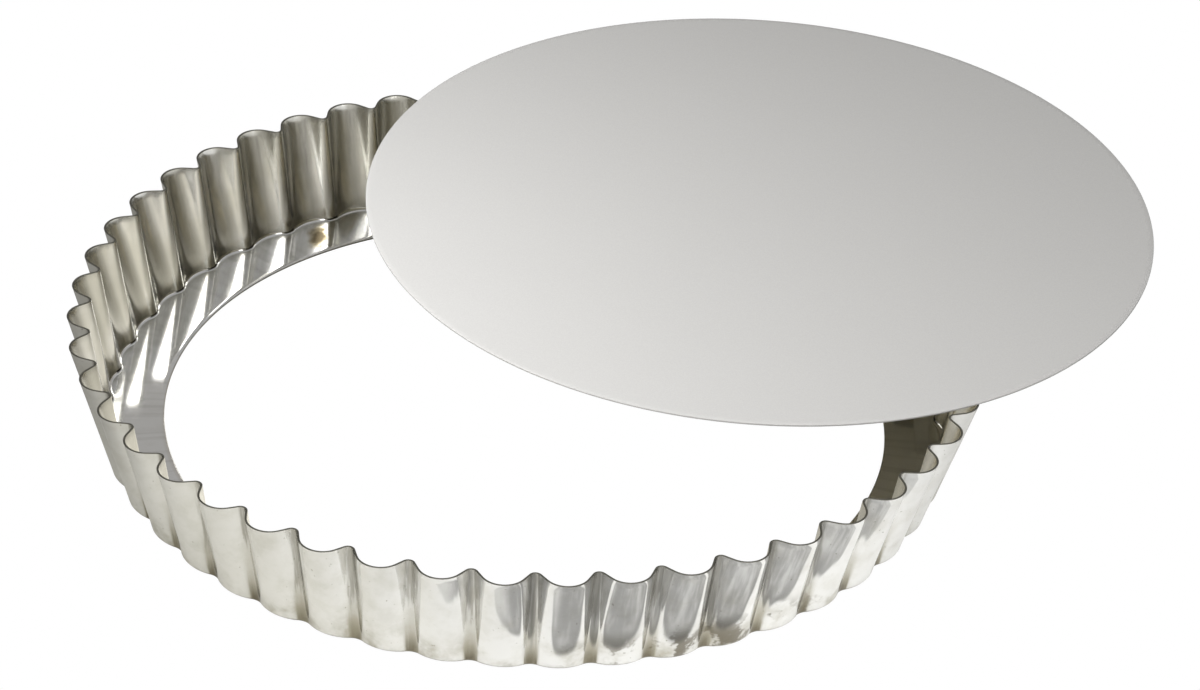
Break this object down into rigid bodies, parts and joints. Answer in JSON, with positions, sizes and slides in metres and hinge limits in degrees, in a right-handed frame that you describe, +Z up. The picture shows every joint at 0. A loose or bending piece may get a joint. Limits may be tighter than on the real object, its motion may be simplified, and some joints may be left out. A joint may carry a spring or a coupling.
{
  "type": "tart pan",
  "caption": "Round fluted sheet-metal tart pan: a flared ring with a narrow inturned ledge, and a flat loose bottom laid off centre across its rim.",
  "frame": {"origin": "centre of the ring, on the underside of its ledge, where it stands on the table", "axes": "+Z up through the ring's axis; +X through the crest of an outward flute; the front seen in a normal view faces -Y"},
  "size_m": [0.3359, 0.3384, 0.0371],
  "materials": {
    "bright_tinplate": "bright tinned steel, close to a mirror, with a faint warm tarnish and fine scratches",
    "satin_tinplate": "satin tinned steel, even and soft, a clean sheared edge"
  },
  "bodies": {
    "ring": {"fluted_ring": "bright_tinplate"},
    "bottom": {"loose_bottom": "satin_tinplate"}
  },
  "joints": [
    {"name": "bottom_lift", "type": "slide", "parent": "ring", "child": "bottom", "axis": [0, 0, 1], "range_m": [0, 0.1]}
  ]
}
